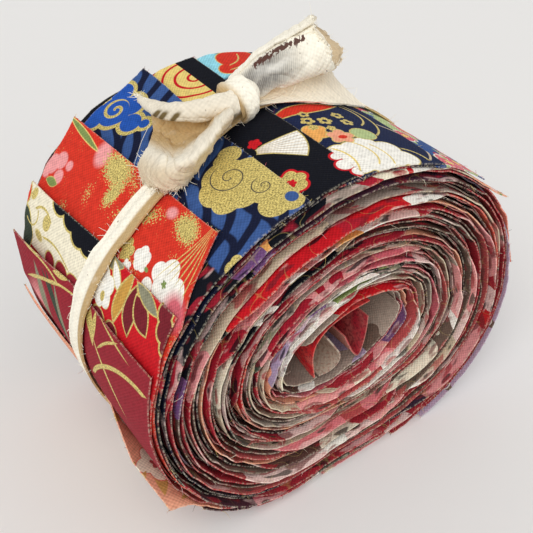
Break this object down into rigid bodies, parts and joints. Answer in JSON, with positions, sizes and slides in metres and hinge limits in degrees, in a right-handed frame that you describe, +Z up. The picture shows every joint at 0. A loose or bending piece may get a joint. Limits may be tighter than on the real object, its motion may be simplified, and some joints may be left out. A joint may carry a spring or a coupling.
{
  "type": "rolled fabric strip bundle",
  "caption": "Oval roll of printed cotton strips with raw cut edges, lying on its side and tied round the middle with a torn cream strip in a bow.",
  "frame": {"origin": "on the floor, at the middle of the whole object's base", "axes": "+Z up, Y along the roll's axis with the end that shows the core's tails towards -Y, +X to the right as seen from that end"},
  "size_m": [0.1099, 0.066, 0.1052],
  "materials": {
    "roll": "matt woven cotton, raw cut edges",
    "strip_rose_floral": "matt woven cotton",
    "strip_pink_tan": "matt woven cotton",
    "strip_red_floral": "matt woven cotton",
    "strip_lilac_dusk": "matt woven cotton",
    "strip_peach_lower": "matt woven cotton",
    "strip_peach_upper": "matt woven cotton",
    "strip_pink_rose": "matt woven cotton",
    "strip_navy_blossom": "matt woven cotton",
    "strip_black_fan": "matt woven cotton",
    "strip_navy_cloud": "matt woven cotton",
    "strip_red_gold": "matt woven cotton",
    "strip_cream_swirl": "matt woven cotton",
    "strip_wine_reed": "matt woven cotton",
    "strip_peach_cream": "matt woven cotton",
    "strip_plum_floral": "matt woven cotton",
    "core_tail_red": "matt woven cotton",
    "core_tail_taupe": "matt woven cotton",
    "core_tail_pink": "matt woven cotton",
    "tie": "matt woven cotton"
  },
  "bodies": {
    "root": {"roll": "roll", "strip_rose_floral": "strip_rose_floral", "strip_pink_tan": "strip_pink_tan", "strip_red_floral": "strip_red_floral", "strip_lilac_dusk": "strip_lilac_dusk", "strip_peach_lower": "strip_peach_lower", "strip_peach_upper": "strip_peach_upper", "strip_pink_rose": "strip_pink_rose", "strip_navy_blossom": "strip_navy_blossom", "strip_black_fan": "strip_black_fan", "strip_navy_cloud": "strip_navy_cloud", "strip_red_gold": "strip_red_gold", "strip_cream_swirl": "strip_cream_swirl", "strip_wine_reed": "strip_wine_reed", "strip_peach_cream": "strip_peach_cream", "strip_plum_floral": "strip_plum_floral", "core_tail_red": "core_tail_red", "core_tail_taupe": "core_tail_taupe", "core_tail_pink": "core_tail_pink", "tie": "tie"}
  },
  "joints": []
}
